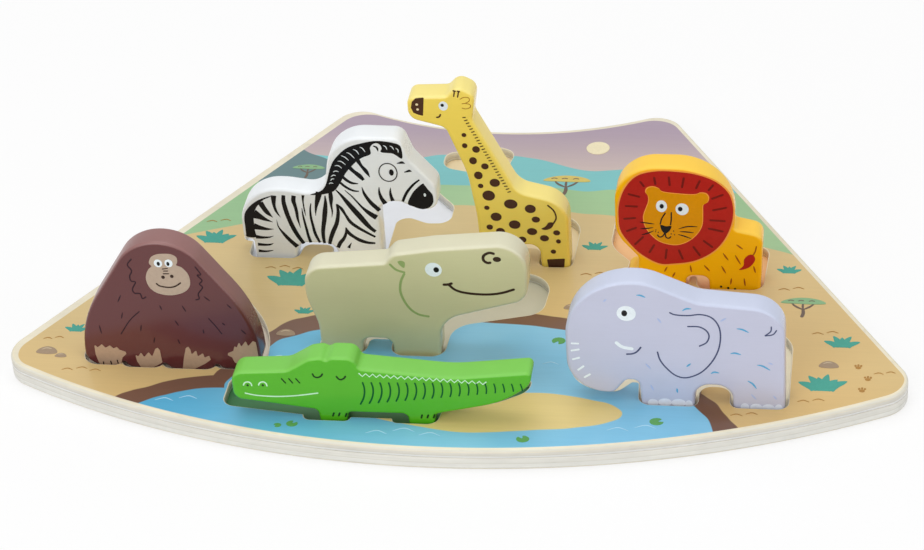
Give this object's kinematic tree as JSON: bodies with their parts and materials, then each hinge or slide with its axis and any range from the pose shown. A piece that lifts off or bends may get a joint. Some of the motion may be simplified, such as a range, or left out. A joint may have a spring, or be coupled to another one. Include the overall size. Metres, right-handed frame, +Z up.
{
  "type": "wooden animal puzzle",
  "caption": "Fan-shaped wooden puzzle tray with chunky animal pieces that lie in matching recesses or stand up in them by their feet.",
  "frame": {"origin": "on the table under the middle of the board's bounding box", "axes": "+Z up, -Y toward the convex front edge that faces the player, +X to the player's right"},
  "size_m": [0.3888, 0.2624, 0.1021],
  "materials": {
    "base_board": "bare sanded plywood, satin lacquer",
    "tray_board": "printed plywood, satin lacquer, bare rim",
    "ape": "painted wood, satin",
    "zebra": "painted wood, satin",
    "giraffe": "painted wood, satin",
    "hippo": "painted wood, satin",
    "lion": "painted wood, satin",
    "elephant": "painted wood, satin",
    "crocodile": "painted wood, satin"
  },
  "bodies": {
    "board": {"base_board": "base_board", "tray_board": "tray_board"},
    "ape": {"ape": "ape"},
    "zebra": {"zebra": "zebra"},
    "giraffe": {"giraffe": "giraffe"},
    "hippo": {"hippo": "hippo"},
    "lion": {"lion": "lion"},
    "elephant": {"elephant": "elephant"},
    "crocodile": {"crocodile": "crocodile"}
  },
  "joints": [
    {"name": "lift_ape", "type": "slide", "parent": "board", "child": "ape", "axis": [0, 0, 1], "range_m": [0, 0.12]},
    {"name": "lift_zebra", "type": "slide", "parent": "board", "child": "zebra", "axis": [0, 0, 1], "range_m": [0, 0.024]},
    {"name": "lift_giraffe", "type": "slide", "parent": "board", "child": "giraffe", "axis": [0, 0, 1], "range_m": [0, 0.12]},
    {"name": "lift_hippo", "type": "slide", "parent": "board", "child": "hippo", "axis": [0, 0, 1], "range_m": [0, 0.12]},
    {"name": "lift_lion", "type": "slide", "parent": "board", "child": "lion", "axis": [0, 0, 1], "range_m": [0, 0.12]},
    {"name": "lift_elephant", "type": "slide", "parent": "board", "child": "elephant", "axis": [0, 0, 1], "range_m": [0, 0.12]},
    {"name": "lift_crocodile", "type": "slide", "parent": "board", "child": "crocodile", "axis": [0, 0, 1], "range_m": [0, 0.12]}
  ]
}
